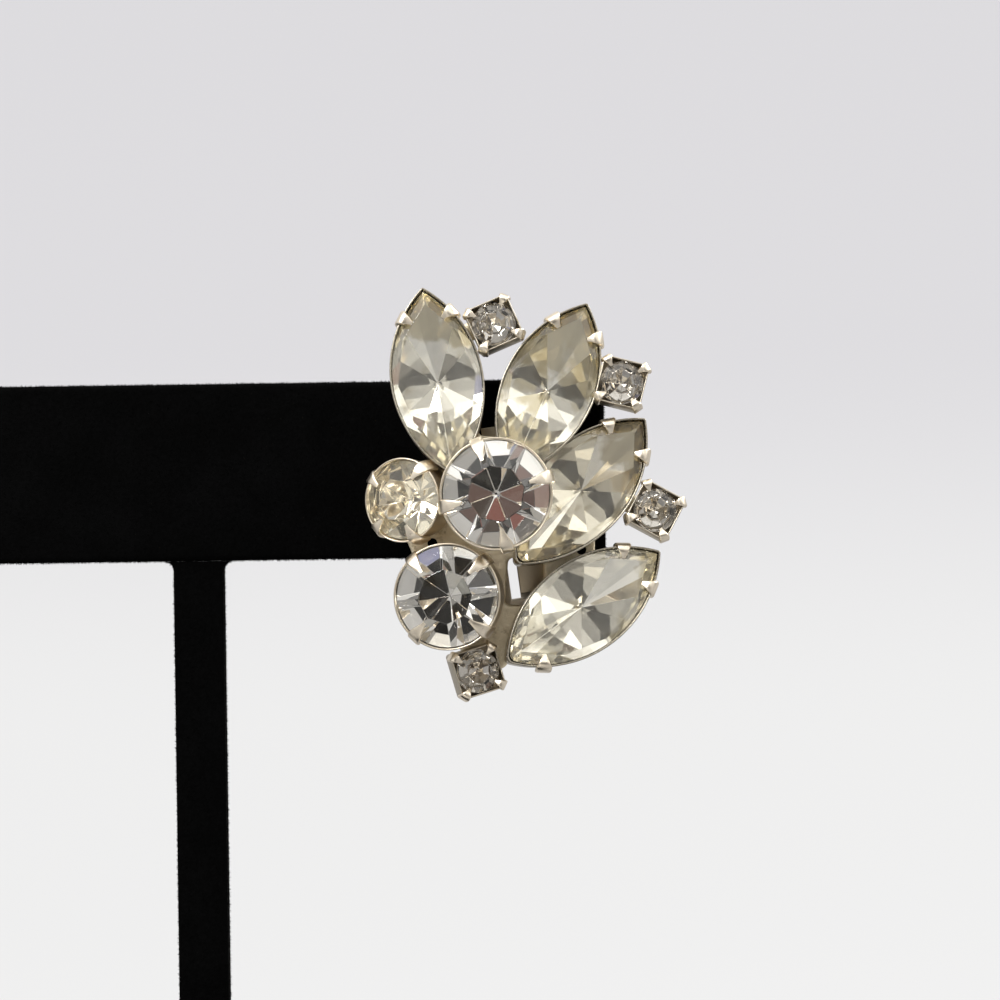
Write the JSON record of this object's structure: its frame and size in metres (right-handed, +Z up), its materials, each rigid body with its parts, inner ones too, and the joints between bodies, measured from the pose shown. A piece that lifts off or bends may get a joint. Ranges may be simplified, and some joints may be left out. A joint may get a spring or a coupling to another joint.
{
  "type": "clip-on earring on display stand",
  "caption": "Clip-on rhinestone cluster earring with pointed oval, round and square-set stones and a hinged paddle clip, on the bar of a small velvet T stand.",
  "frame": {"origin": "centre of the base board's underside, on the table under the upright", "axes": "+X to the right as seen in the picture, +Y away from the viewer, +Z up"},
  "size_m": [0.0726, 0.04, 0.0775],
  "materials": {
    "velvet": "black velvet pile over board",
    "rhodium": "aged warm silver plating",
    "clip_metal": "aged warm plating, slightly dull",
    "crystal": "clear cut glass with a foil back",
    "crystal_aged": "cut glass with a yellowed foil back"
  },
  "bodies": {
    "stand_and_earring": {"stand_base": "velvet", "stand_post": "velvet", "stand_bar": "velvet", "setting": "rhodium", "clip_base": "clip_metal", "hinge_pin": "clip_metal", "navette_upper_left": "crystal_aged", "navette_upper_right": "crystal_aged", "navette_right": "crystal_aged", "navette_lower_right": "crystal_aged", "chaton_centre": "crystal", "chaton_lower": "crystal", "chaton_left": "crystal", "accent_top": "crystal", "accent_upper_right": "crystal", "accent_right": "crystal", "accent_bottom": "crystal"},
    "clip_lever": {"clip_lever": "clip_metal"}
  },
  "joints": [
    {"name": "clip_hinge", "type": "hinge", "parent": "stand_and_earring", "child": "clip_lever", "pos_m": [0.0273, -0.0009, 0.0515], "axis": [-0.9925, 0, -0.1219], "range_deg": [0, 75]}
  ]
}
